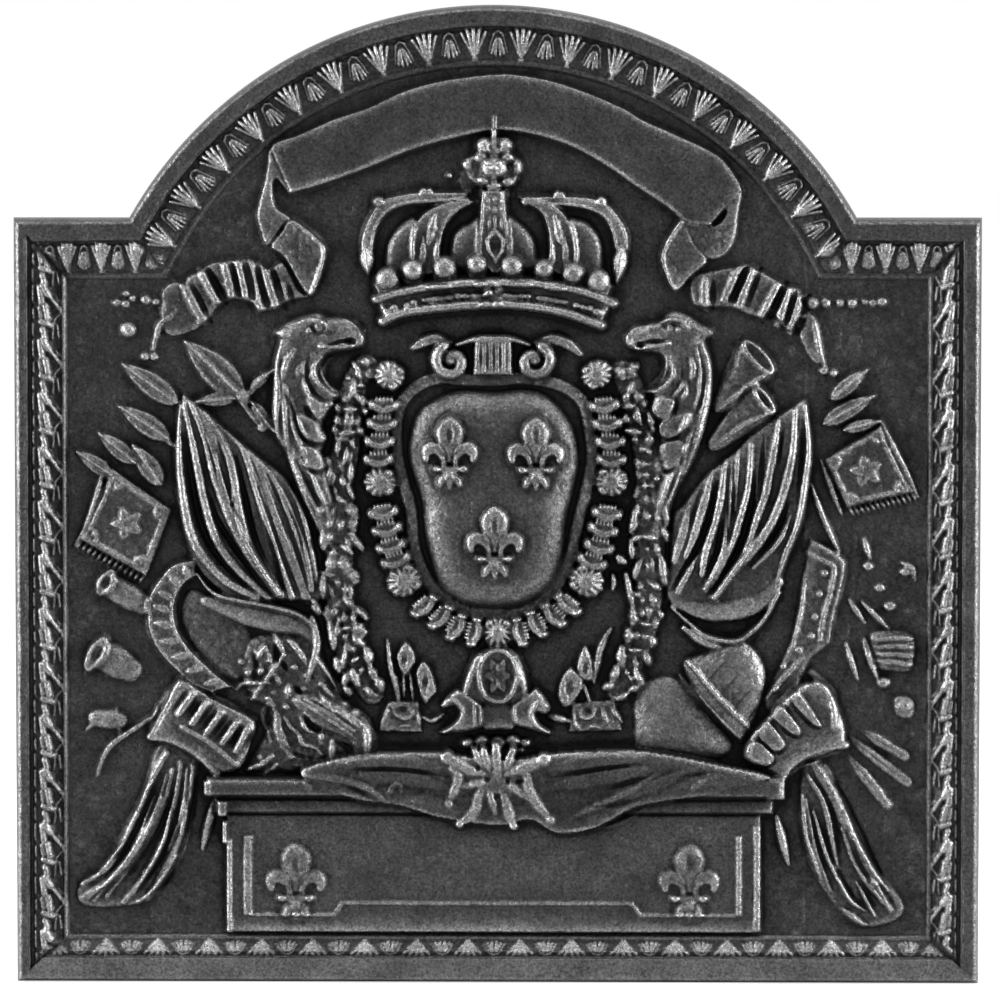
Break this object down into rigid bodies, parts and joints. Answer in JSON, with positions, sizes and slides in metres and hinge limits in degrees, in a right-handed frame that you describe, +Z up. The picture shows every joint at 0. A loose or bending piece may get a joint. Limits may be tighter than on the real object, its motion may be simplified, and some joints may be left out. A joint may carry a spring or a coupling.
{
  "type": "fireback",
  "caption": "Arched cast-iron fireback with a leaf-moulded border and a crowned coat of arms in relief, which stands at the back of a hearth.",
  "frame": {"origin": "middle of the foot of the flat back face", "axes": "+Y out of the back face towards the chimney wall, the carved front faces -Y, +Z up from the foot to the top of the arch, +X to the viewer's right"},
  "size_m": [0.967, 0.048, 0.98],
  "materials": {
    "iron_field": "blackened sand-cast skin, satin, fine sand grain",
    "iron_moulding": "blackened sand-cast iron, slightly rubbed on its edges",
    "iron_relief": "blackened sand-cast iron, rubbed bright on the high ridges"
  },
  "bodies": {
    "root": {"plate": "iron_field", "border_left": "iron_moulding", "border_right": "iron_moulding", "border_foot": "iron_moulding", "border_shoulder_left": "iron_moulding", "border_shoulder_right": "iron_moulding", "border_arch": "iron_moulding", "leaves_left": "iron_moulding", "leaves_right": "iron_moulding", "leaves_foot": "iron_moulding", "leaves_shoulders": "iron_moulding", "leaves_arch": "iron_moulding", "ribbon_band": "iron_relief", "ribbon_tail_left": "iron_relief", "ribbon_tail_right": "iron_relief", "crown_circlet": "iron_relief", "crown_jewels": "iron_relief", "crown_straps": "iron_relief", "crown_cap": "iron_field", "crown_pearls": "iron_relief", "crown_finial": "iron_relief", "shield": "iron_relief", "shield_lilies": "iron_relief", "shield_frame": "iron_relief", "shield_volutes": "iron_relief", "collar_shells": "iron_relief", "collar_links": "iron_relief", "outer_collar_left": "iron_relief", "outer_collar_right": "iron_relief", "medallion": "iron_relief", "scroll_bracket": "iron_relief", "cross_pendant": "iron_relief", "eagle_left": "iron_relief", "eagle_right": "iron_relief", "flag_left": "iron_relief", "flag_right": "iron_relief", "spears_left": "iron_relief", "spears_right": "iron_relief", "banner_left": "iron_relief", "banner_right": "iron_relief", "crescent_left": "iron_relief", "cannons_left": "iron_relief", "helmet_left": "iron_relief", "quiver_left": "iron_relief", "drapery_left": "iron_relief", "trumpets_right": "iron_relief", "drum_right": "iron_relief", "buckler_right": "iron_relief", "quiver_right": "iron_relief", "drapery_right": "iron_relief", "arrows_right": "iron_relief", "plinth_slab": "iron_relief", "plinth_body": "iron_relief", "plinth_panel": "iron_relief", "plinth_lilies": "iron_relief", "plinth_cloth": "iron_relief"}
  },
  "joints": []
}
